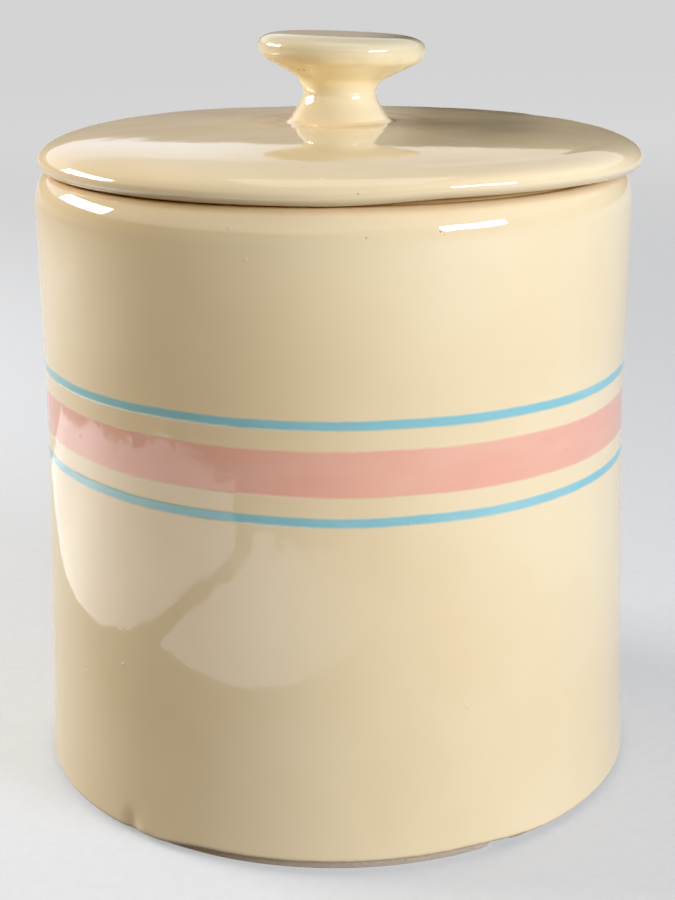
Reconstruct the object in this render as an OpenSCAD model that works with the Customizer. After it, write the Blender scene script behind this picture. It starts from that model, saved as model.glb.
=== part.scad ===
// Biscuit jar: a round glazed stoneware jar with a loose lid.
// The jar and the lid are each one fired piece. The knob is part of the lid.
// Origin: centre of the foot ring, on the surface that the jar stands on. +Z is up.

/* [Jar] */
// Height of the rim above the surface that the jar stands on
body_h = 193.5; // [120:0.5:300]
// Outside diameter at the bottom edge
base_d = 194.5; // [150:0.5:260]
// Outside diameter at the rim, before its edge is rounded
shoulder_d = 188.9; // [150:0.5:260]
// How far the wall bows in, halfway up
wall_bow = 1.95; // [0:0.05:5]
// Thickness of the wall
wall_t = 7; // [5:0.25:12]
// Thickness of the floor above the foot
floor_t = 7; // [4:0.5:14]
// Radius inside, where the wall meets the floor
floor_fillet = 14; // [4:1:30]
// Height over which the outside of the rim rounds off
rim_round_h = 9.4; // [3:0.2:16]
// Radius of the inside edge of the mouth
mouth_round = 1.2; // [0.5:0.1:2.4]
// Width of the flat crest between the two roundings of the rim
rim_flat = 0.6; // [0.2:0.1:1.5]

/* [Foot] */
// How far the bare foot ring stands back from the bottom edge
foot_inset = 3.3; // [3.3:0.05:12]
// Height of the foot ring under the glazed bottom edge
foot_h = 3.2; // [1:0.1:6]
// Width of the ring that the jar stands on
foot_w = 6; // [3:0.5:14]
// Depth of the recess inside the foot ring
recess_h = 2.6; // [1:0.1:6]
// Radius of the bottom edge of the glaze
edge_round = 1.9; // [0.5:0.1:3]

/* [Bands] */
// Height of the middle of the wide pink band
band_z = 119.8; // [60:0.1:150]
// Width of the pink band
band_w = 13.2; // [4:0.2:30]
// Width of each blue line
line_w = 2.7; // [0.5:0.05:6]
// Bare glaze between the pink band and each blue line
line_gap = 5.9; // [1:0.1:14]
// Depth to which the colours are shown in the wall
band_depth = 0.8; // [0.4:0.1:2]

/* [Lid] */
// How far the edge of the lid stands out past the rim
lid_overhang = 0.5; // [0:0.1:6]
// Height of the lid from its widest line to its crown
lid_rise = 10.4; // [6:0.2:30]
// Share of that height at which the edge starts to turn over
edge_fullness = 0.97; // [0.3:0.01:0.99]
// Share of the radius over which the top is near flat
top_fullness = 0.63; // [0.2:0.01:0.9]
// Height of the edge from the seat up to its widest line
edge_under_h = 2.9; // [1:0.1:8]
// Width over which the edge turns under to the seat
edge_under_w = 4.4; // [1:0.1:5]
// Thickness of the lid
lid_t = 7; // [5:0.25:12]
// Depth of the locating ring that drops into the mouth
ring_h = 10; // [5:0.5:20]
// Thickness of the locating ring
ring_t = 6; // [4:0.5:9]
// Radius of the ring's two lower edges
ring_round = 1.8; // [0.5:0.1:1.9]
// Radius where the ring meets the underside of the lid
ring_fillet = 4; // [1:0.5:8]
// Play between the locating ring and the mouth, all round
lid_play = 2.5; // [0.5:0.1:3]
// Gap left between two glazed faces that rest on each other
seat_gap = 0.3; // [0.1:0.05:0.5]

/* [Knob] */
// Diameter of the knob
knob_d = 52.6; // [44:0.2:70]
// Height of the widest line of the knob above the narrowest point of its neck
knob_rise = 14; // [13.2:0.1:24]
// Radius under the edge of the knob
knob_under_r = 4.5; // [2:0.1:6]
// Height of the top of the knob above its widest line
knob_top_h = 5.2; // [2:0.1:12]
// Width over which the top of the knob rounds off
knob_top_w = 10.5; // [4:0.5:18]
// Diameter of the neck at its narrowest
neck_d = 23.1; // [16:0.1:30]
// Height of the neck's narrowest point above the crown of the lid
neck_h = 8.8; // [7:0.1:10]
// Radius of the waist of the neck, seen from the side
neck_r = 6; // [3:0.25:7]
// Radius where the neck meets the lid
neck_fillet = 3.5; // [1:0.25:5]
// Lean of the neck's flare from upright, in degrees
neck_flare = 34; // [10:1:40]
// Thickness of the clay round the hollow in the neck
neck_wall = 5.5; // [4:0.25:7]

/* [Quality] */
// Facets round the jar when it is previewed
facets = 128; // [48:16:256]

/* [Hidden] */

glaze = [0.94, 0.87, 0.68];
pink = [0.86, 0.55, 0.51];
blue = [0.37, 0.70, 0.80];
bare_clay = [0.83, 0.79, 0.70];

wall_steps = 16;       // straight steps up the bowed wall
arc_steps = 8;         // steps round each small arc
top_steps = 32;        // steps across the top of the lid

// Radius of the arc wall at height z: straight from bottom edge to rim, less a bow that is
// deepest halfway up
function wall_r(z) =
    let (t = (z - foot_h) / (body_h - foot_h))
    base_d / 2 + (shoulder_d - base_d) / 2 * t - 4 * wall_bow * t * (1 - t);
function inner_r(z) = wall_r(z) - wall_t;

// Points on an ellipse round c with half-axes rx and rz, from angle a0 to angle a1
function arc(c, rx, rz, a0, a1) =
    [for (i = [0:arc_steps])
        let (a = a0 + (a1 - a0) * i / arc_steps)
        c + [rx * cos(a), rz * sin(a)]];

function bezier(p, t) =
    pow(1 - t, 3) * p[0] + 3 * t * pow(1 - t, 2) * p[1]
    + 3 * t * t * (1 - t) * p[2] + pow(t, 3) * p[3];

// Points every step from z0 to z1 up a wall whose radius is f(z)
function wall_points(f, z0, z1) =
    [for (i = [0:wall_steps])
        let (z = z0 + (z1 - z0) * i / wall_steps)
        [f(z), z]];

// Jar
floor_z = max(recess_h, foot_h) + floor_t;
foot_r = base_d / 2 - foot_inset;
foot_in_r = foot_r - foot_w;
mouth_z = body_h - mouth_round;
mouth_r = inner_r(mouth_z);
rim_z = body_h - rim_round_h;
rim_r = wall_r(rim_z);
rim_round_w = rim_r - mouth_r - mouth_round - rim_flat;
edge_z = foot_h + edge_round;

// Bands of colour, and the bare foot: each is [middle height, width, inner radius, colour]
line_offset = band_w / 2 + line_gap + line_w / 2;
BANDS = [
    [band_z, band_w, wall_r(band_z) - band_depth, pink],
    [band_z + line_offset, line_w, wall_r(band_z + line_offset) - band_depth, blue],
    [band_z - line_offset, line_w, wall_r(band_z - line_offset) - band_depth, blue],
    [foot_h / 2, foot_h, foot_in_r - recess_h, bare_clay]
];

// Lid: it has slid sideways until its ring all but touches the mouth
seat_z = body_h + seat_gap;
lid_x = lid_play - seat_gap;
lid_r = shoulder_d / 2 + lid_overhang;
widest_z = seat_z + edge_under_h;
crown_z = widest_z + lid_rise;
ring_z = seat_z - ring_h;
ring_r = min(mouth_r, inner_r(ring_z)) - lid_play;
ring_in_r = ring_r - ring_t;

// Knob
knob_r = knob_d / 2;
waist_c = [neck_d / 2 + neck_r, crown_z + neck_h];
edge_c = [knob_r - knob_under_r, waist_c[1] + knob_rise];
// The underside of the knob is the line that touches both the waist's and the edge's arcs
under_v = edge_c - waist_c;
under_a = atan2(under_v[1], under_v[0]) - asin((neck_r + knob_under_r) / norm(under_v));
// Where the neck's fillet starts on the lid
neck_foot_r = neck_d / 2 + neck_r * (1 - cos(neck_flare)) + neck_fillet * cos(neck_flare)
    + tan(neck_flare) * (neck_h - neck_r * sin(neck_flare) - neck_fillet * (1 - sin(neck_flare)));
hollow_r = neck_d / 2 - neck_wall;
hollow_z = waist_c[1];

// Half of the jar's section, from the axis under the floor, out and up the outside,
// over the rim and down the inside
module jar_section() {
    fillet_z = floor_z + floor_fillet;
    polygon(concat(
        [[0, recess_h]],
        arc([foot_in_r - recess_h, 0], recess_h, recess_h, 90, 0),
        [[foot_r, 0], [foot_r, foot_h]],
        arc([wall_r(edge_z) - edge_round, edge_z], edge_round, edge_round, -90, 0),
        wall_points(function (z) wall_r(z), edge_z + edge_round, rim_z - 1),
        arc([rim_r - rim_round_w, rim_z], rim_round_w, rim_round_h, 0, 90),
        arc([mouth_r + mouth_round, mouth_z], mouth_round, mouth_round, 90, 180),
        wall_points(function (z) inner_r(z), mouth_z - 1, fillet_z + 1),
        arc([inner_r(fillet_z) - floor_fillet, fillet_z], floor_fillet, floor_fillet, 0, -90),
        [[0, floor_z]]
    ));
}

// The slice of the section that one band colours
module band_area(band) {
    translate([band[2], band[0] - band[1] / 2])
        square([base_d, band[1]]);
}

module jar() {
    color(glaze)
        rotate_extrude($fn = facets)
            difference() {
                jar_section();
                for (band = BANDS)
                    band_area(band);
            }
    for (band = BANDS)
        color(band[3])
            rotate_extrude($fn = facets)
                intersection() {
                    jar_section();
                    band_area(band);
                }
}

// The top of the lid from its widest line in to the axis
function lid_top() =
    let (p = [[lid_r, widest_z], [lid_r, widest_z + edge_fullness * lid_rise],
              [lid_r * top_fullness, crown_z], [0, crown_z]])
    [for (i = [0:top_steps]) bezier(p, i / top_steps)];

// Half of the lid's section, from the top of the hollow down it, out along the underside,
// round the ring and the edge, in across the top and up the knob
module lid_section() {
    top = lid_top();
    flare_r = hollow_r + neck_fillet;
    under_out_r = ring_in_r - ring_fillet;
    under = [for (i = [top_steps:-1:0])
                if (top[i][0] > flare_r && top[i][0] < under_out_r)
                    top[i] - [0, lid_t]];
    under_z = under[len(under) - 1][1];
    polygon(concat(
        arc([0, hollow_z], hollow_r, hollow_r, 90, 0),
        arc([flare_r, crown_z - lid_t + neck_fillet], neck_fillet, neck_fillet, 180, 270),
        under,
        arc([under_out_r, under_z - ring_fillet], ring_fillet, ring_fillet, 90, 0),
        arc([ring_in_r + ring_round, ring_z + ring_round], ring_round, ring_round, 180, 270),
        arc([ring_r - ring_round, ring_z + ring_round], ring_round, ring_round, -90, 0),
        [[ring_r, seat_z]],
        arc([lid_r - edge_under_w, widest_z], edge_under_w, edge_under_h, -90, 0),
        [for (i = [1:top_steps]) if (top[i][0] > neck_foot_r + 1) top[i]],
        arc([neck_foot_r, crown_z + neck_fillet], neck_fillet, neck_fillet, 270, 180 + neck_flare),
        arc(waist_c, neck_r, neck_r, 180 + neck_flare, 90 + under_a),
        arc(edge_c, knob_under_r, knob_under_r, under_a - 90, 0),
        arc([knob_r - knob_top_w, edge_c[1]], knob_top_w, knob_top_h, 0, 90),
        [[0, edge_c[1] + knob_top_h]]
    ));
}

module lid() {
    color(glaze)
        translate([lid_x, 0, 0])
            rotate_extrude($fn = facets)
                lid_section();
}

jar();
lid();
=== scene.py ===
import math
import random
import bpy
from mathutils import Matrix, Vector, noise


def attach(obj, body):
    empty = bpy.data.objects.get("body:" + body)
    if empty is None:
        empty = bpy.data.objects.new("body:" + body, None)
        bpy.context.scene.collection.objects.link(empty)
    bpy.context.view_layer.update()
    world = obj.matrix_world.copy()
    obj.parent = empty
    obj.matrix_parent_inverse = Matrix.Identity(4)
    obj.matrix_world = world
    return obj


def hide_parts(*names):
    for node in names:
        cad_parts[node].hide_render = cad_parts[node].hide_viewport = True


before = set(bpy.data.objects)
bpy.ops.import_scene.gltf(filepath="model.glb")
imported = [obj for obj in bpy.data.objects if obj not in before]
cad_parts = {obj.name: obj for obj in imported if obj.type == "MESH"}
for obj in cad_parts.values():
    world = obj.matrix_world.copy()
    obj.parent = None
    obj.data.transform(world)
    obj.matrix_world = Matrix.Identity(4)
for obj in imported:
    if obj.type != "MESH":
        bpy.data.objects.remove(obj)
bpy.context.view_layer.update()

# ---------------------------------------------------------------- sizes, in millimetres
# These have the names and values of part.scad, apart from the top of the knob
MM = 0.001
body_h = 193.5
base_d = 194.5
shoulder_d = 188.9
wall_bow = 1.95
wall_t = 7.0
floor_t = 7.0
floor_fillet = 14.0
rim_round_h = 9.4
mouth_round = 1.2
rim_flat = 0.6
foot_inset = 3.3
foot_h = 3.2
foot_w = 6.0
recess_h = 2.6
edge_round = 1.9
band_z = 119.8
band_w = 13.2
line_w = 2.7
line_gap = 5.9
lid_overhang = 0.5
lid_rise = 10.4
edge_fullness = 0.97
top_fullness = 0.63
edge_under_h = 2.9
edge_under_w = 4.4
lid_t = 7.0
ring_h = 10.0
ring_t = 6.0
ring_round = 1.8
ring_fillet = 4.0
lid_play = 2.5
seat_gap = 0.3
knob_d = 52.6
knob_rise = 14.0
knob_under_r = 4.5
knob_top_h = 4.14
knob_top_w = 8.7
knob_top_full = 2.61        # how square the top's rounding is: 2 is an ellipse
knob_dome = 0.6             # and how much higher its middle is
neck_d = 23.1
neck_h = 8.8
neck_r = 6.0
neck_fillet = 3.5
neck_flare = 34.0
neck_wall = 5.5

# Hand-made differences from the true shapes. Tilts are slopes, and the rest is in mm.
band_tilt = 0.0071          # the bands run down to the right
lid_tilt = 0.0028           # the lid leans down to the right
knob_tilt = 0.040           # the knob's disc leans down to the right
knob_shift = 0.75           # and stands a little to the right of its neck
warp_h = 1.35               # most that the lid's edge lifts off the rim, at the front right
back_lift = 0.38            # most that the lid's top rises at its edge, at the back left
ridge_h, ridge_r, ridge_w = 0.13, 25.5, 2.2     # faint ridge in the lid round the neck

# Slow ripple left by the turner's hands: height, place of one crest, and spacing
ripple_h, ripple_z, ripple_w = 0.24, 65.0, 102.0

# Faults at the bottom edge: degrees from the front, height, widths and depth
chip_a, chip_w, chip_d = 31.0, 2.4, 4.0
dent_a, dent_z, dent_w, dent_h, dent_d = -40.2, 5.2, 2.4, 3.4, 1.1
lump_a, lump_z, lump_w, lump_d = -36.6, 6.0, 1.4, 0.35

# How uneven the turned and dipped surfaces are, and how long the two waves of it are
WALL_UNEVEN, WALL_OFF = 0.09, 0.05              # WALL_OFF keeps the wall inside its CAD solid
INSIDE_UNEVEN = 0.25
LID_UNEVEN, LID_OFF = 0.3, 0.03
NECK_UNEVEN = 0.5
KNOB_UNEVEN, KNOB_OFF = 0.25, 0.06
WAVE_LONG, WAVE_SHORT = 38.0, 15.0

# How far the lower edge of the glaze comes down within DIP_FROM degrees of the front, and
# beyond DIP_TO. At the right it comes down more slowly: an angle of a counts as
# a * DIP_EASE + DIP_ADD there.
DIP_FROM, DIP_TO = 24.0, 35.0
DIP_FRONT, DIP_SIDE = 0.2, 1.9
DIP_EASE, DIP_ADD = 0.611, 9.33

# Larger pinholes: place and radius
JAR_PITS = [((28.4, -89.6, 186.6), 0.22), ((29.4, -89.4, 185.7), 0.12),
            ((8.5, -93.7, 185.8), 0.2)]
LID_PITS = [((-8.7, -16.3, 224.3), 0.5), ((-10.2, -14.7, 224.2), 0.45),
            ((6.4, -94.7, 197.7), 0.2)]

TURNS = 320                 # points round each turned piece
WALL_STEPS = 110            # rings up the outside of the wall
IN_STEPS = 40               # and down the inside
TOP_STEPS = 64              # and across the top of the lid
SHARP_DEG = 40              # edges sharper than this aren't smoothed

# Jar
floor_z = max(recess_h, foot_h) + floor_t
fillet_z = floor_z + floor_fillet
foot_r = base_d / 2 - foot_inset
foot_in_r = foot_r - foot_w
rim_z = body_h - rim_round_h
mouth_z = body_h - mouth_round
edge_z = foot_h + edge_round
line_offset = band_w / 2 + line_gap + line_w / 2


def wall_r(z):
    """Radius of the outside of the wall at height z."""
    t = (z - foot_h) / (body_h - foot_h)
    return base_d / 2 + (shoulder_d - base_d) / 2 * t - 4 * wall_bow * t * (1 - t)


def inner_r(z):
    return wall_r(z) - wall_t


mouth_r = inner_r(mouth_z)
rim_r = wall_r(rim_z)
rim_round_w = rim_r - mouth_r - mouth_round - rim_flat

# Lid
seat_z = body_h + seat_gap
lid_x = lid_play - seat_gap
lid_r = shoulder_d / 2 + lid_overhang
widest_z = seat_z + edge_under_h
crown_z = widest_z + lid_rise
ring_z = seat_z - ring_h
ring_r = min(mouth_r, inner_r(ring_z)) - lid_play
ring_in_r = ring_r - ring_t

# Knob: its underside is the line that touches both the waist's and the edge's arcs
knob_r = knob_d / 2
waist_r, waist_z = neck_d / 2 + neck_r, crown_z + neck_h
knob_edge_r, knob_edge_z = knob_r - knob_under_r, waist_z + knob_rise
under_dr, under_dz = knob_edge_r - waist_r, knob_edge_z - waist_z
under_a = math.degrees(math.atan2(under_dz, under_dr)
                       - math.asin((neck_r + knob_under_r) / math.hypot(under_dr, under_dz)))
flare = math.radians(neck_flare)
neck_foot_r = (neck_d / 2 + neck_r * (1 - math.cos(flare)) + neck_fillet * math.cos(flare)
               + math.tan(flare) * (neck_h - neck_r * math.sin(flare)
                                    - neck_fillet * (1 - math.sin(flare))))
hollow_r = neck_d / 2 - neck_wall


# ---------------------------------------------------------------- small helpers
def smooth(a, b, x):
    """0 at a and before it, 1 at b and beyond it."""
    t = min(1.0, max(0.0, (x - a) / (b - a)))
    return t * t * (3 - 2 * t)


def bell(x):
    return math.exp(-x * x)


def arc(cr, cz, rr, rz, a0, a1, n, full=2.0):
    """Points on an ellipse round (cr, cz), from angle a0 to angle a1 in degrees. With full
    above 2 it is squarer."""
    points = []
    for i in range(n + 1):
        a = math.radians(a0 + (a1 - a0) * i / n)
        c, s = math.cos(a), math.sin(a)
        points.append((cr + math.copysign(rr * abs(c) ** (2 / full), c),
                       cz + math.copysign(rz * abs(s) ** (2 / full), s)))
    return points


def line(p, q, n):
    """Points inside the straight line from p to q, without its ends."""
    return [(p[0] + (q[0] - p[0]) * i / n, p[1] + (q[1] - p[1]) * i / n) for i in range(1, n)]


def front_angle(x, y):
    """Degrees round the axis from the front (-Y), positive to the right (+X)."""
    return math.degrees(math.atan2(x, -y))


def undulate(x, y, z, size):
    """Uneven thickness of hand-dipped glaze and turned clay, in mm."""
    p = Vector((x, y, z))
    return size * (0.7 * noise.noise(p / WAVE_LONG)
                   + 0.3 * noise.noise(p / WAVE_SHORT + Vector((9, 4, 2))))


def place(name, data):
    """A new object in the scene."""
    ob = bpy.data.objects.new(name, data)
    bpy.context.scene.collection.objects.link(ob)
    return ob


class Section(list):
    """The points of a section, from the axis round to the axis again. at has the number of
    the first point of each named part of it."""

    def __init__(self):
        super().__init__()
        self.at = {}

    def part(self, name, points):
        self.at[name] = len(self)
        self.extend(points)


def lathe(name, section, shape, materials, zone):
    """A closed surface of revolution. shape(r, z, angle, i) gives a vertex in mm, and
    zone(i) the material of the faces between section points i and i + 1."""
    verts, rows = [], []
    for i, (r, z) in enumerate(section):
        if r < 1e-6:
            rows.append([len(verts)])
            verts.append(Vector(shape(0.0, z, 0.0, i)) * MM)
        else:
            rows.append(list(range(len(verts), len(verts) + TURNS)))
            for k in range(TURNS):
                a = 2 * math.pi * k / TURNS
                verts.append(Vector(shape(r, z, a, i)) * MM)
    faces, slots = [], []
    for i in range(len(rows) - 1):
        p, q = rows[i], rows[i + 1]
        for k in range(TURNS):
            n = (k + 1) % TURNS
            if len(p) == 1:
                faces.append((p[0], q[n], q[k]))
            elif len(q) == 1:
                faces.append((p[k], p[n], q[0]))
            else:
                faces.append((p[k], p[n], q[n], q[k]))
            slots.append(zone(i))
    me = bpy.data.meshes.new(name)
    me.from_pydata(verts, [], faces)
    me.polygons.foreach_set("material_index", slots)
    me.polygons.foreach_set("use_smooth", [True] * len(faces))
    me.set_sharp_from_angle(angle=math.radians(SHARP_DEG))
    me.update()
    for m in materials:
        me.materials.append(m)
    return place(name, me)


# ---------------------------------------------------------------- materials
class Tree:
    """Short names for the nodes of one material or of the world."""

    def __init__(self, block, coord="Object"):
        block.use_nodes = True
        self.t = block.node_tree
        self.obj = self.new("ShaderNodeTexCoord").outputs[coord]
        split = self.new("ShaderNodeSeparateXYZ")
        self.link(self.obj, split.inputs[0])
        self.x, self.y, self.z = split.outputs

    def find(self, kind):
        return next(n for n in self.t.nodes if n.type == kind)

    def new(self, kind):
        return self.t.nodes.new(kind)

    def link(self, a, b):
        self.t.links.new(a, b)

    def put(self, value, socket):
        if isinstance(value, (int, float, tuple)):
            socket.default_value = value
        else:
            self.link(value, socket)

    def math(self, op, a, b=0.0):
        n = self.new("ShaderNodeMath")
        n.operation = op
        self.put(a, n.inputs[0])
        self.put(b, n.inputs[1])
        return n.outputs[0]

    def add(self, a, b):
        return self.math("ADD", a, b)

    def sub(self, a, b):
        return self.math("SUBTRACT", a, b)

    def mul(self, a, b):
        return self.math("MULTIPLY", a, b)

    def most(self, a, b):
        return self.math("MAXIMUM", a, b)

    def spread(self, value, size):
        """A value from 0 to 1, made to run from -size / 2 to size / 2."""
        return self.mul(self.sub(value, 0.5), size)

    def across(self, x, y):
        """How far (x, y) is from the axis."""
        return self.math("SQRT", self.add(self.mul(x, x), self.mul(y, y)))

    def seen(self):
        """1 for what the camera sees, directly or in a reflection, and 0 for soft light."""
        rays = self.new("ShaderNodeLightPath").outputs
        n = self.most(rays["Is Camera Ray"], rays["Is Glossy Ray"])
        return self.most(n, rays["Is Transmission Ray"])

    def ramp(self, value, lo, hi, a=0.0, b=1.0, kind="SMOOTHSTEP"):
        """a where the value is lo or before it, and b where it is hi or beyond it."""
        n = self.new("ShaderNodeMapRange")
        n.interpolation_type = kind
        self.put(value, n.inputs["Value"])
        for name, v in (("From Min", lo), ("From Max", hi), ("To Min", a), ("To Max", b)):
            self.put(v, n.inputs[name])
        return n.outputs["Result"]

    def moved(self, shift, stretch=None):
        """The place on the object, moved so that each pattern differs from the others."""
        m = self.new("ShaderNodeMapping")
        m.inputs["Location"].default_value = (shift, shift * 0.7, shift * 1.3)
        if stretch:
            m.inputs["Scale"].default_value = stretch
        self.link(self.obj, m.inputs["Vector"])
        return m.outputs[0]

    def noise(self, wavelength, detail=2.0, rough=0.5, stretch=None, shift=0.0):
        """Noise of that wavelength in metres, about 0.5 in the mean."""
        n = self.new("ShaderNodeTexNoise")
        n.inputs["Scale"].default_value = 1.0 / wavelength
        n.inputs["Detail"].default_value = detail
        n.inputs["Roughness"].default_value = rough
        self.link(self.moved(shift, stretch), n.inputs["Vector"])
        return n.outputs["Fac"]

    def specks(self, cell, radius, soft, shift=0.0):
        """1 inside small round dots of about that radius, scattered in cells of that size."""
        n = self.new("ShaderNodeTexVoronoi")
        n.inputs["Scale"].default_value = 1.0 / cell
        self.link(self.moved(shift), n.inputs["Vector"])
        return self.ramp(n.outputs["Distance"], radius / cell, (radius - soft) / cell)

    def dot(self, middle, radius):
        """1 within that many mm of a place given in mm."""
        n = self.new("ShaderNodeVectorMath")
        n.operation = "DISTANCE"
        self.link(self.obj, n.inputs[0])
        n.inputs[1].default_value = [c * MM for c in middle]
        return self.ramp(n.outputs["Value"], (radius + 0.2) * MM, (radius - 0.2) * MM)

    def mix(self, fac, a, b):
        """Colour a where fac is 0, and colour b where it is 1."""
        n = self.new("ShaderNodeMix")
        n.data_type = "RGBA"
        self.put(fac, n.inputs[0])
        self.put(a, n.inputs[6])
        self.put(b, n.inputs[7])
        return n.outputs[2]

    def bump(self, height, distance, normal=None):
        n = self.new("ShaderNodeBump")
        n.inputs["Distance"].default_value = distance
        n.inputs["Strength"].default_value = 1.0
        self.link(height, n.inputs["Height"])
        if normal:
            self.link(normal, n.inputs["Normal"])
        return n.outputs[0]


CREAM = (0.86, 0.68, 0.41, 1.0)
CREAM_DEEP = (0.83, 0.63, 0.36, 1.0)
# Brown for the lower edge of the glaze, and painted shade on the rim's crest under the lid
EDGE_BROWN_AND_RIM_SHADE = (0.46, 0.26, 0.095, 1.0)
PINK = (0.84, 0.405, 0.275, 1.0)
PINK_THIN = (0.85, 0.45, 0.31, 1.0)
BLUE = (0.235, 0.515, 0.535, 1.0)
BLUE_THIN = (0.35, 0.59, 0.58, 1.0)
# Painted shade: the dark gap between the lid and the rim, on the rim's crest and the lid's seat
GAP_PAINTED_SHADE = (0.58, 0.36, 0.14, 1.0)
# Painted light under the knob, lit from the lid below, and painted shade on the neck and the knob
UNDER_KNOB_PAINTED_LIGHT = (0.89, 0.765, 0.46, 1.0)
KNOB_PAINTED_SHADE = (0.74, 0.61, 0.375, 1.0)
PIT = (0.30, 0.13, 0.035, 1.0)
PINHOLE = (0.36, 0.19, 0.07, 1.0)
CLAY = (0.52, 0.42, 0.31, 1.0)
CLAY_DARK = (0.44, 0.35, 0.255, 1.0)
SOIL = (0.26, 0.19, 0.13, 1.0)
GRIT = (0.25, 0.17, 0.10, 1.0)

# In metres: radii between which the inside of the wall ends and the outside starts
OUTSIDE = (0.0895, 0.0905)
# How far the bands wander, their edges run, and the lower edge of the glaze runs
WANDER, EDGE_RUN, DRIP = 0.0016, 0.0004, 0.0012
# Heights of the raised and sunk details
RELIEF, BAND_PROUD, PIT_DEEP, PINHOLE_DEEP, PIMPLE = 0.00002, 0.00004, 0.0001, 0.0002, 0.00012


def jar_colours(t, colour, fine, normal):
    """The bands, a brown line along the lower edge of the glaze, and painted shade on the rim's
    crest for the dark gap under the lid.
    """
    outer = t.ramp(t.across(t.x, t.y), *OUTSIDE)
    wobble = t.noise(0.045, 1.0, 0.5, shift=5.3)
    edge = t.noise(0.004, 2.0, 0.6, stretch=(1, 1, 2.5), shift=2.2)
    h = t.add(t.z, t.mul(t.x, band_tilt))
    h = t.add(h, t.spread(wobble, WANDER))
    h = t.add(h, t.spread(edge, EDGE_RUN))

    def stripe(middle, width, soft):
        off = t.math("ABSOLUTE", t.sub(h, middle * MM))
        return t.mul(outer, t.ramp(off, (width / 2 + soft) * MM, (width / 2 - soft) * MM))

    pale = t.noise(0.03, 3.0, 0.6, stretch=(1, 1, 3), shift=8.8)
    pink = stripe(band_z, band_w, 0.5)
    colour = t.mix(pink, colour, t.mix(t.ramp(pale, 0.35, 0.8), PINK, PINK_THIN))
    lines = t.most(stripe(band_z + line_offset, line_w, 0.45),
                   stripe(band_z - line_offset, line_w, 0.45))
    colour = t.mix(lines, colour, t.mix(t.ramp(pale, 0.4, 0.85), BLUE, BLUE_THIN))
    # The colours lie a little proud under the glaze
    normal = t.bump(t.most(pink, lines), BAND_PROUD, normal)
    # The lower edge of the glaze is higher at the front
    drip = t.spread(t.noise(0.006, 2.0, 0.6, shift=4.4), DRIP)
    side = t.math("ARCTAN2", t.x, t.mul(t.y, -1.0))
    side = t.most(t.mul(side, -1.0), t.add(t.mul(side, DIP_EASE), math.radians(DIP_ADD)))
    low = t.add(t.add(t.z, drip), t.ramp(side, math.radians(DIP_FROM), math.radians(DIP_TO),
                                         DIP_FRONT * MM, DIP_SIDE * MM))
    brown_edge_and_shade = t.ramp(low, (foot_h + 1.5) * MM, (foot_h + 0.3) * MM, 0.0, 0.9)
    # Painted shade on the rim's crest, for the dark gap under the lid. It is weaker at the left
    rim_shade_side = t.ramp(t.x, -0.085, -0.04, 0.25, 1.0)
    high = t.add(t.z, t.mul(drip, 0.4))
    crest = t.ramp(high, (body_h - 2.2) * MM, (body_h - 0.3) * MM, 0.0, 0.4)
    brown_edge_and_shade = t.most(t.mul(brown_edge_and_shade, outer), t.mul(crest, rim_shade_side))
    colour = t.mix(brown_edge_and_shade, colour, EDGE_BROWN_AND_RIM_SHADE)
    # Painted shade: darker brown along the top of the crest
    crest = t.ramp(high, (body_h - 0.35) * MM, (body_h - 0.05) * MM)
    return t.mix(t.mul(crest, rim_shade_side), colour, GAP_PAINTED_SHADE), normal


def lid_colours(t, colour, fine, normal):
    """Painted shade in brown on the seat and the top of the ring, for the dark gap between the
    lid and the rim, and painted light and shade on the neck and the knob."""
    out = t.across(t.sub(t.x, lid_x * MM), t.y)
    # Painted shade: the seat and the top of the ring are brown, for the dark gap between the lid
    # and the rim
    seat = t.mul(t.ramp(out, (lid_r - 2.6) * MM, (lid_r - 4.2) * MM),
                 t.ramp(t.z, (seat_z + 3.4) * MM, (seat_z + 2.4) * MM))
    inner = t.mul(t.ramp(out, (ring_r - 1.5) * MM, (ring_r - 0.5) * MM),
                  t.ramp(t.z, (seat_z - 3.5) * MM, (seat_z - 2) * MM))
    colour = t.mix(t.mul(seat, inner), colour, GAP_PAINTED_SHADE)
    # Painted shade on the neck and the knob, which are darker, and painted light under the knob,
    # which is lighter, as the glazed lid below lights it
    knob_shade_z = t.add(t.z, t.spread(fine, 0.003))
    colour = t.mix(t.ramp(knob_shade_z, (crown_z + 0.5) * MM, (crown_z + 4) * MM), colour, KNOB_PAINTED_SHADE)
    under = t.mul(t.ramp(knob_shade_z, (waist_z + 1) * MM, (waist_z + 5) * MM),
                  t.ramp(knob_shade_z, (knob_edge_z - 1) * MM, (knob_edge_z - 5) * MM))
    return t.mix(under, colour, UNDER_KNOB_PAINTED_LIGHT), normal


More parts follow.
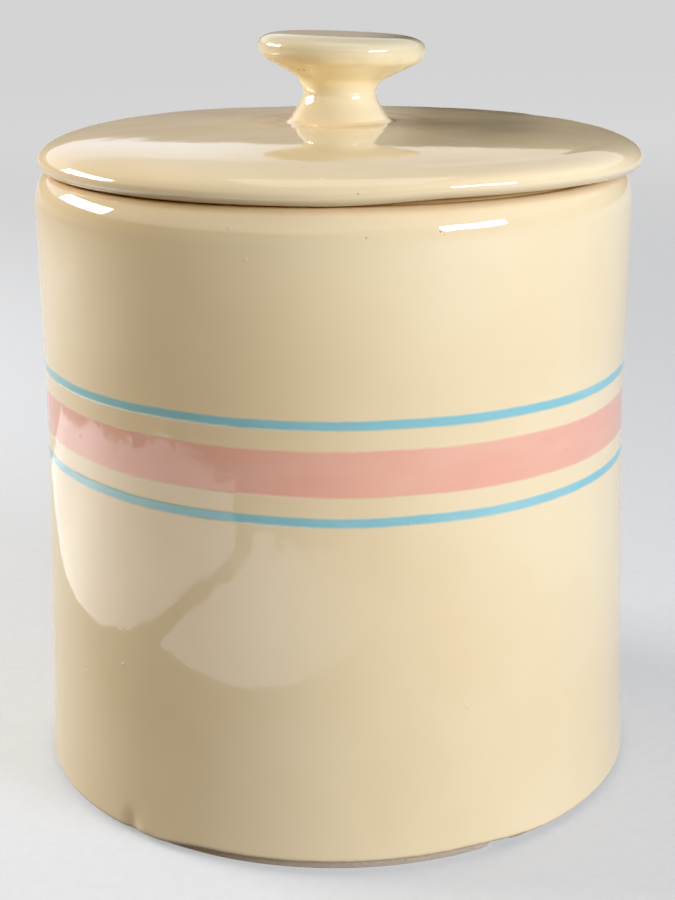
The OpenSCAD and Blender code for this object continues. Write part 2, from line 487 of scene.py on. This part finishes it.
def glaze(name, pits, piece_colours):
    """Glossy cream glaze on stoneware. pits lists a few larger pinholes: place and radius in
    mm. piece_colours adds what only one piece has."""
    mat = bpy.data.materials.new(name)
    t = Tree(mat)
    cloud = t.noise(0.07, 3.0, 0.55)
    fine = t.noise(0.009, 3.0, 0.6, shift=3.1)
    colour = t.mix(t.ramp(cloud, 0.35, 0.7), CREAM, CREAM_DEEP)
    colour = t.mix(t.ramp(fine, 0.55, 0.8, 0.0, 0.12), colour, CREAM_DEEP)
    normal = t.bump(t.noise(0.0045, 2.0, 0.5, shift=1.7), RELIEF)
    colour, normal = piece_colours(t, colour, fine, normal)
    for middle, radius in pits:
        pit = t.dot(middle, radius)
        colour = t.mix(t.mul(pit, 0.8), colour, PIT)
        normal = t.bump(t.sub(1.0, pit), PIT_DEEP, normal)
    holes = t.specks(0.03, 0.0004, 0.0002, shift=6.1)
    colour = t.mix(t.mul(holes, 0.5), colour, PINHOLE)
    normal = t.bump(t.sub(1.0, holes), PINHOLE_DEEP, normal)
    # Low pimples, in a few patches
    pimples = t.mul(t.specks(0.009, 0.0009, 0.0009, shift=11.3),
                    t.ramp(t.noise(0.05, 1.0, 0.5, shift=7.9), 0.5, 0.62))
    normal = t.bump(pimples, PIMPLE, normal)
    b = t.find("BSDF_PRINCIPLED")
    t.link(colour, b.inputs["Base Color"])
    t.link(t.ramp(fine, 0.3, 0.7, 0.035, 0.06), b.inputs["Roughness"])
    t.link(normal, b.inputs["Normal"])
    b.inputs["IOR"].default_value = 1.5
    return mat


def bare_clay(name):
    """Unglazed stoneware: matt, finely grained and lightly soiled."""
    mat = bpy.data.materials.new(name)
    t = Tree(mat)
    grain = t.noise(0.0009, 3.0, 0.65)
    soil = t.noise(0.02, 3.0, 0.6, shift=2.7)
    grit = t.specks(0.0035, 0.0004, 0.0002, shift=1.2)
    colour = t.mix(t.ramp(grain, 0.3, 0.75), CLAY, CLAY_DARK)
    colour = t.mix(t.ramp(soil, 0.5, 0.75, 0.0, 0.6), colour, SOIL)
    colour = t.mix(t.mul(grit, 0.7), colour, GRIT)
    b = t.find("BSDF_PRINCIPLED")
    t.link(colour, b.inputs["Base Color"])
    t.link(t.ramp(soil, 0.3, 0.7, 0.75, 0.92), b.inputs["Roughness"])
    t.link(t.bump(grain, 0.0002), b.inputs["Normal"])
    b.inputs["Specular IOR Level"].default_value = 0.25
    return mat


# ---------------------------------------------------------------- jar
wall_lo, wall_hi = edge_z + 0.8, rim_z - 0.8
in_lo, in_hi = fillet_z + 1.0, mouth_z - 1.0


def climb(radius, lo, hi, steps):
    """Points up a wall, whose radius at a height is radius(height)."""
    heights = [lo + (hi - lo) * i / steps for i in range(steps + 1)]
    return [(radius(z), z) for z in heights]


jar_section = Section()
jar_section.part("under", [(0.0, recess_h)]
                 + line((0.0, recess_h), (foot_in_r - recess_h, recess_h), 12)
                 + arc(foot_in_r - recess_h, 0.0, recess_h, recess_h, 90, 6, 6))
jar_section.part("stand", [(foot_in_r + 0.3, 0.0), (foot_in_r + 3.0, 0.0)])
jar_section.part("foot", [(foot_r - 0.35, 0.0), (foot_r, 0.35), (foot_r, foot_h / 2),
                          (foot_r, foot_h)])
jar_section.part("lip", [(foot_r + 0.05, foot_h + 0.02)])
jar_section.part("edge", arc(wall_r(edge_z) - edge_round, edge_z, edge_round, edge_round,
                             -84, 0, 10))
jar_section.part("wall", climb(wall_r, wall_lo, wall_hi, WALL_STEPS))
jar_section.part("rim", arc(rim_r - rim_round_w, rim_z, rim_round_w, rim_round_h, 0, 90, 20))
jar_section.part("mouth", arc(mouth_r + mouth_round, mouth_z, mouth_round, mouth_round,
                              90, 180, 7))
jar_section.part("inside", climb(inner_r, in_hi, in_lo, IN_STEPS))
jar_section.part("fillet", arc(inner_r(fillet_z) - floor_fillet, fillet_z,
                               floor_fillet, floor_fillet, 0, -90, 12))
jar_section.part("floor", line((inner_r(fillet_z) - floor_fillet, floor_z), (0.0, floor_z), 14)
                 + [(0.0, floor_z)])
JAR = jar_section.at


def jar_shape(r, z, a, i):
    x, y = r * math.cos(a), r * math.sin(a)
    if r < 1e-6:
        return x, y, z
    grow = drop = 0.0
    if JAR["edge"] <= i < JAR["mouth"]:
        fade = smooth(JAR["edge"], JAR["edge"] + 14, i)
        grow = (undulate(x, y, z, WALL_UNEVEN) - WALL_OFF) * fade
        grow += ripple_h * (1 + 0.3 * x / r) * math.cos(2 * math.pi * (z - ripple_z) / ripple_w) \
            * fade * smooth(rim_z + 6, rim_z - 8, z)
    elif JAR["inside"] <= i < JAR["floor"]:
        grow = undulate(x, y, z, INSIDE_UNEVEN) * smooth(JAR["inside"], JAR["inside"] + 3, i)
    if JAR["stand"] <= i < JAR["wall"] + 12:
        deg = front_angle(x, y)

        def beside(fault_a):
            """How far round the wall this is from a fault, in mm."""
            return math.radians(deg - fault_a) * r

        dip = DIP_FRONT + (DIP_SIDE - DIP_FRONT) \
            * smooth(DIP_FROM, DIP_TO, max(-deg, deg * DIP_EASE + DIP_ADD))
        drop = dip * (z / foot_h if z < foot_h else smooth(foot_h + 13, foot_h + 1, z))
        if JAR["foot"] <= i < JAR["lip"]:
            grow -= chip_d * bell(beside(chip_a) / chip_w) ** 0.7
        grow -= dent_d * bell(beside(dent_a) / dent_w) * bell((z - dent_z) / dent_h)
        if z > foot_h + 0.5:
            grow += lump_d * bell(beside(lump_a) / lump_w) * bell((z - lump_z) / lump_w)
    k = (r + grow) / r
    return x * k, y * k, z - drop


jar_glaze = glaze("jar_glaze", JAR_PITS, jar_colours)
clay = bare_clay("bare_clay")
jar = lathe("stoneware_jar", jar_section, jar_shape, (jar_glaze, clay),
            lambda i: 1 if JAR["stand"] - 1 <= i < JAR["lip"] else 0)
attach(jar, "jar")
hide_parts("jar")


# ---------------------------------------------------------------- lid
def lid_top(t):
    """A point on the lid's top, from its widest line at t = 0 to the axis at t = 1."""
    r = lid_r * ((1 - t) ** 3 + 3 * t * (1 - t) ** 2 + 3 * t * t * (1 - t) * top_fullness)
    z = widest_z + lid_rise * (3 * t * (1 - t) ** 2 * edge_fullness
                               + 3 * t * t * (1 - t) + t ** 3)
    return r, z


top = [lid_top(i / TOP_STEPS) for i in range(TOP_STEPS + 1)]
flare_r = hollow_r + neck_fillet
under_out_r = ring_in_r - ring_fillet
under = [(r, z - lid_t) for r, z in reversed(top) if flare_r + 0.5 < r < under_out_r - 0.5]
under_z = under[-1][1]
waist = arc(waist_r, waist_z, neck_r, neck_r, 180 + neck_flare, 90 + under_a, 16)
disc = arc(knob_edge_r, knob_edge_z, knob_under_r, knob_under_r, under_a - 90, 0, 12)
knob_top_z = knob_edge_z + knob_top_h

lid_section = Section()
lid_section.part("hollow", [(0.0, waist_z + hollow_r)]
                 + arc(0.0, waist_z, hollow_r, hollow_r, 78, 0, 7))
lid_section.part("throat", line((hollow_r, waist_z), (hollow_r, crown_z - lid_t + neck_fillet), 4)
                 + arc(flare_r, crown_z - lid_t + neck_fillet, neck_fillet, neck_fillet,
                       180, 268, 7))
lid_section.part("under", under)
lid_section.part("ring_in", arc(under_out_r, under_z - ring_fillet, ring_fillet, ring_fillet,
                                86, 0, 7))
lid_section.part("ring_low", arc(ring_in_r + ring_round, ring_z + ring_round,
                                 ring_round, ring_round, 180, 270, 7))
lid_section.part("ring_bare", line((ring_in_r + ring_round, ring_z),
                                   (ring_r - ring_round, ring_z), 3))
lid_section.part("ring_out", arc(ring_r - ring_round, ring_z + ring_round,
                                 ring_round, ring_round, -90, 0, 7))
lid_section.part("ring_wall", line((ring_r, ring_z + ring_round), (ring_r, seat_z), 5))
lid_section.part("seat", [(ring_r, seat_z)]
                 + line((ring_r, seat_z), (lid_r - edge_under_w, seat_z), 5))
lid_section.part("edge", arc(lid_r - edge_under_w, widest_z, edge_under_w, edge_under_h,
                             -90, 0, 16))
lid_section.part("top", [p for p in top[1:] if p[0] > neck_foot_r + 0.6])
lid_section.part("neck", arc(neck_foot_r, crown_z + neck_fillet, neck_fillet, neck_fillet,
                             268, 180 + neck_flare, 10))
lid_section.part("waist", waist)
lid_section.part("knob_under", line(waist[-1], disc[0], 6))
lid_section.part("knob_edge", disc)
lid_section.part("knob_top", arc(knob_r - knob_top_w, knob_edge_z, knob_top_w, knob_top_h,
                                 4, 90, 24, knob_top_full)
                 + line((knob_r - knob_top_w, knob_top_z), (0.0, knob_top_z), 6)
                 + [(0.0, knob_top_z)])
LID = lid_section.at


def edge_warp(x, y):
    """How far the lid's edge is warped up at this place round it."""
    deg = front_angle(x, y)
    return warp_h * smooth(-3, 20, deg) * (1 - smooth(30, 90, deg))


def lid_shape(r, z, a, i):
    x, y = r * math.cos(a), r * math.sin(a)
    if i >= LID["knob_top"]:
        z += knob_dome * max(0.0, 1 - (r / (knob_r - 2)) ** 2)
    if r > 1e-6:
        grow = 0.0
        if LID["top"] <= i < LID["neck"]:
            z += undulate(x, y, z, LID_UNEVEN) * smooth(lid_r - 1, lid_r - 12, r) \
                * smooth(neck_foot_r, neck_foot_r + 6, r)
            z += ridge_h * bell((r - ridge_r) / ridge_w)
            z += back_lift * bell((abs(front_angle(x, y) + 128) - 4) / 30) \
                * smooth(lid_r - 45, lid_r - 12, r) * smooth(widest_z, widest_z + 5, z)
        elif LID["neck"] <= i <= LID["waist"] + 4:
            grow = undulate(x * 3, y * 3, z, NECK_UNEVEN)
        elif i > LID["waist"] + 4:
            grow = undulate(x * 2, y * 2, z * 2, KNOB_UNEVEN) - KNOB_OFF
        if LID["waist"] <= i <= LID["knob_under"] + 3:
            grow += 0.15
        if LID["edge"] <= i < LID["neck"] and r > lid_r - 8:
            grow -= LID_OFF
        k = (r + grow) / r
        x, y = x * k, y * k
    if LID["ring_wall"] + 1 < i < LID["neck"]:
        low = smooth(crown_z - 1, widest_z, z) * smooth(ring_r - 0.5, ring_r + 3, r)
        z += edge_warp(x, y) * low
    if z > waist_z and i > LID["waist"]:
        s = smooth(waist_z - 1, waist_z + 7, z)
        up = z - knob_edge_z
        x, z = x + s * (knob_shift + knob_tilt * up), z - s * knob_tilt * x
    return x + lid_x, y, z - lid_tilt * x


lid_glaze = glaze("lid_glaze", LID_PITS, lid_colours)
lid = lathe("stoneware_lid", lid_section, lid_shape, (lid_glaze, clay),
            lambda i: 1 if LID["ring_low"] + 5 <= i < LID["ring_out"] + 2 else 0)
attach(lid, "lid")
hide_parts("lid")


# ---------------------------------------------------------------- camera
PHOTO_W, PHOTO_H = 675, 900
FOCAL_PX = 1655.7                       # focal length, in pixels of the picture
CENTRE_PX = (334.66, 350.0)             # where the optical axis meets the picture
SENSOR = 36.0
CAM_PLACE = (0.0, -0.52624, 0.26124)    # metres
CAM_PITCH, CAM_ROLL = 0.240, -0.0078    # radians
cam_data = bpy.data.cameras.new("camera")
cam_data.sensor_width = SENSOR
cam_data.lens = FOCAL_PX / PHOTO_H * SENSOR
cam_data.shift_x = (PHOTO_W / 2 - CENTRE_PX[0]) / PHOTO_H
cam_data.shift_y = -(PHOTO_H / 2 - CENTRE_PX[1]) / PHOTO_H
cam_data.clip_start = 0.02
cam_data.clip_end = 60.0
cam = place("camera", cam_data)
cam.matrix_world = (Matrix.Translation(CAM_PLACE)
                    @ Matrix.Rotation(math.pi / 2 - CAM_PITCH, 4, "X")
                    @ Matrix.Rotation(CAM_ROLL, 4, "Z"))
bpy.context.scene.camera = cam

# ---------------------------------------------------------------- floor
FLOOR_HALF = 14.0                       # metres
FLOOR_SOFT = (0.04, 0.039, 0.037, 1.0)  # for soft light
FLOOR_PALE = (0.38, 0.38, 0.38, 1.0)    # for what is seen, in fine grains of two greys
FLOOR_PALER = (0.40, 0.40, 0.40, 1.0)
# How brightly what is seen glows of itself, within GLOW_FROM metres of the axis and beyond
# GLOW_TO
GLOW_FROM, GLOW_TO = 0.3, 2.0
GLOW_NEAR, GLOW_FAR = 0.36, 0.62
floor_me = bpy.data.meshes.new("floor")
floor_me.from_pydata([(-FLOOR_HALF, -FLOOR_HALF, 0.0), (FLOOR_HALF, -FLOOR_HALF, 0.0),
                      (FLOOR_HALF, FLOOR_HALF, 0.0), (-FLOOR_HALF, FLOOR_HALF, 0.0)],
                     [], [(0, 1, 2, 3)])
floor_mat = bpy.data.materials.new("floor")
ft = Tree(floor_mat)
sheet = ft.find("BSDF_PRINCIPLED")
pale = ft.mix(ft.ramp(ft.noise(0.004, 2.0, 0.6), 0.3, 0.7), FLOOR_PALE, FLOOR_PALER)
seen = ft.seen()
ft.link(ft.mix(seen, FLOOR_SOFT, pale), sheet.inputs["Base Color"])
sheet.inputs["Emission Color"].default_value = (1.0, 1.0, 1.0, 1.0)
glow = ft.ramp(ft.across(ft.x, ft.y), GLOW_FROM, GLOW_TO, GLOW_NEAR, GLOW_FAR)
ft.link(ft.mul(seen, glow), sheet.inputs["Emission Strength"])
sheet.inputs["Roughness"].default_value = 0.9
sheet.inputs["Specular IOR Level"].default_value = 0.1
floor_me.materials.append(floor_mat)
floor = place("floor", floor_me)

# ---------------------------------------------------------------- glowing cards, seen only in reflections
CARD_WHITE = (0.86, 0.86, 0.90, 1.0)
CARD_GLOW = 1.6
CARD_Z = 0.001                          # metres
TEAR_EVERY = 11                         # length of the pieces of a torn edge, in mm
# Most that a torn edge runs in or out, at TEAR_AT mm from the axis, and how fast that grows
TEAR, TEAR_AT, TEAR_POWER = 7.5, 500, 1.6


def reflection_card(name, corners):
    """A torn white card that lies beside the jar, out of the picture, and glows. It casts no
    shadow, gives no soft light, and only shows as a painted reflection in the glaze."""
    rand = random.Random(name)
    torn = []
    for (x0, y0), (x1, y1) in zip(corners, corners[1:] + corners[:1]):
        pieces = max(1, round(math.hypot(x1 - x0, y1 - y0) / TEAR_EVERY))
        for k in range(pieces):
            x, y = x0 + (x1 - x0) * k / pieces, y0 + (y1 - y0) * k / pieces
            tear = TEAR * (math.hypot(x, y) / TEAR_AT) ** TEAR_POWER if k else 0.0
            torn.append((x + rand.uniform(-tear, tear), y + rand.uniform(-tear, tear)))
    mesh = bpy.data.meshes.new(name)
    mesh.from_pydata([(x * MM, y * MM, CARD_Z) for x, y in torn], [], [range(len(torn))])
    mat = bpy.data.materials.new(name)
    t = Tree(mat)
    b = t.find("BSDF_PRINCIPLED")
    b.inputs["Base Color"].default_value = CARD_WHITE
    b.inputs["Emission Color"].default_value = CARD_WHITE
    # Its glow fades to the right and to the back
    fade = t.mul(t.ramp(t.x, -0.13, 0.05, 1.0, 0.1), t.ramp(t.y, 0.06, 0.2, 1.0, 0.45))
    t.link(t.mul(fade, CARD_GLOW), b.inputs["Emission Strength"])
    b.inputs["Roughness"].default_value = 0.9
    mesh.materials.append(mat)
    ob = place(name, mesh)
    ob.visible_camera = ob.visible_diffuse = ob.visible_shadow = False


reflection_card("card_left", [(-228, 270), (-226, 40), (-234, -90), (-246, -215), (-215, -330),
                   (-256, -380), (-350, -325), (-432, -238), (-468, -75), (-485, 54),
                   (-395, 279)])
reflection_card("card_front", [(-208, -132), (-170, -158), (-108, -197), (-34, -244), (60, -300),
                    (70, -420), (-176, -374), (-188, -332), (-214, -250), (-224, -188)])

# ---------------------------------------------------------------- lamps
LAMP_AIM = Vector((0, 0, 0.12))


def softbox(name, azimuth, elevation, distance, size, power, colour=(1, 1, 1)):
    """A rectangular lamp, at that angle right of the front and above the point it faces."""
    az, el = math.radians(azimuth), math.radians(elevation)
    way = Vector((math.sin(az) * math.cos(el), -math.cos(az) * math.cos(el), math.sin(el)))
    data = bpy.data.lights.new(name, "AREA")
    data.shape = "RECTANGLE"
    data.size, data.size_y = size
    data.energy = power
    data.color = colour
    ob = place(name, data)
    ob.location = LAMP_AIM + way * distance
    ob.rotation_euler = way.to_track_quat("Z", "Y").to_euler()
    ob.visible_camera = False
    return ob


softbox("key", 51, 14.5, 1.5, (0.66, 0.20), 22.8, (0.79, 0.91, 1.16))
softbox("left", -108, 21, 1.1, (0.62, 0.24), 14.1)
# Lifts the shaded front and the undersides, and shows in no reflection
fill = softbox("front", 16, 14, 1.1, (0.8, 0.4), 3.3, (1.0, 0.84, 0.50))
fill.visible_glossy = False
softbox("top", 0, 88, 1.3, (0.9, 0.9), 4.2)

# ---------------------------------------------------------------- room
# It is dark for soft light, and a plain grey straight behind the jar. In reflections it has
# a pale wall above a low dark one, and both are lighter at the left.
ROOM_LIGHT = (0.01, 0.01, 0.01, 1.0)
BACKDROP = (0.74, 0.74, 0.74, 1.0)
WALL_HIGH = (1.0, 0.93, 0.85, 1.0)
WALL_TOP = (0.80, 0.79, 0.78, 1.0)
WALL_GLOW = (1.15, 1.18, 1.28, 1.0)
WALL_LEFT = (0.41, 0.355, 0.295, 1.0)
WALL_RIGHT = (0.05, 0.045, 0.035, 1.0)
WALL_FAR = (0.29, 0.23, 0.16, 1.0)
WALL_FRONT = (0.15, 0.15, 0.15, 1.0)
TOP_FROM, TOP_TO = 22, 29               # degrees up at which the pale wall turns to its top
world = bpy.context.scene.world or bpy.data.worlds.new("world")
bpy.context.scene.world = world
wt = Tree(world, "Generated")
dark = wt.mix(wt.ramp(wt.x, 0.10, 0.16), WALL_RIGHT, WALL_FAR)
right = wt.ramp(wt.sub(wt.x, wt.mul(wt.y, 0.045)), -0.025, 0.025)
low = wt.mix(right, WALL_LEFT, dark)
low = wt.mix(wt.ramp(wt.y, -0.2, 0.2), WALL_FRONT, low)
high = wt.mix(wt.ramp(wt.x, 0.0, -0.12), WALL_HIGH, WALL_GLOW)
high = wt.mix(wt.ramp(wt.z, math.sin(math.radians(TOP_FROM)), math.sin(math.radians(TOP_TO))),
              high, WALL_TOP)
# The low wall's edge runs up to the right
slope = wt.add(wt.ramp(wt.x, -0.16, 0.0, 0.041, 0.0, "LINEAR"),
               wt.ramp(wt.x, 0.03, 0.2, 0.0, -0.09, "LINEAR"))
wall = wt.mix(wt.ramp(wt.add(wt.z, slope), 0.200, 0.216), low, high)
back = wt.find("BACKGROUND")
straight = wt.new("ShaderNodeLightPath").outputs["Is Camera Ray"]
wall = wt.mix(straight, wall, BACKDROP)
wt.link(wt.mix(wt.seen(), ROOM_LIGHT, wall), back.inputs["Color"])
back.inputs["Strength"].default_value = 1.0

bpy.context.scene.view_settings.view_transform = "Standard"
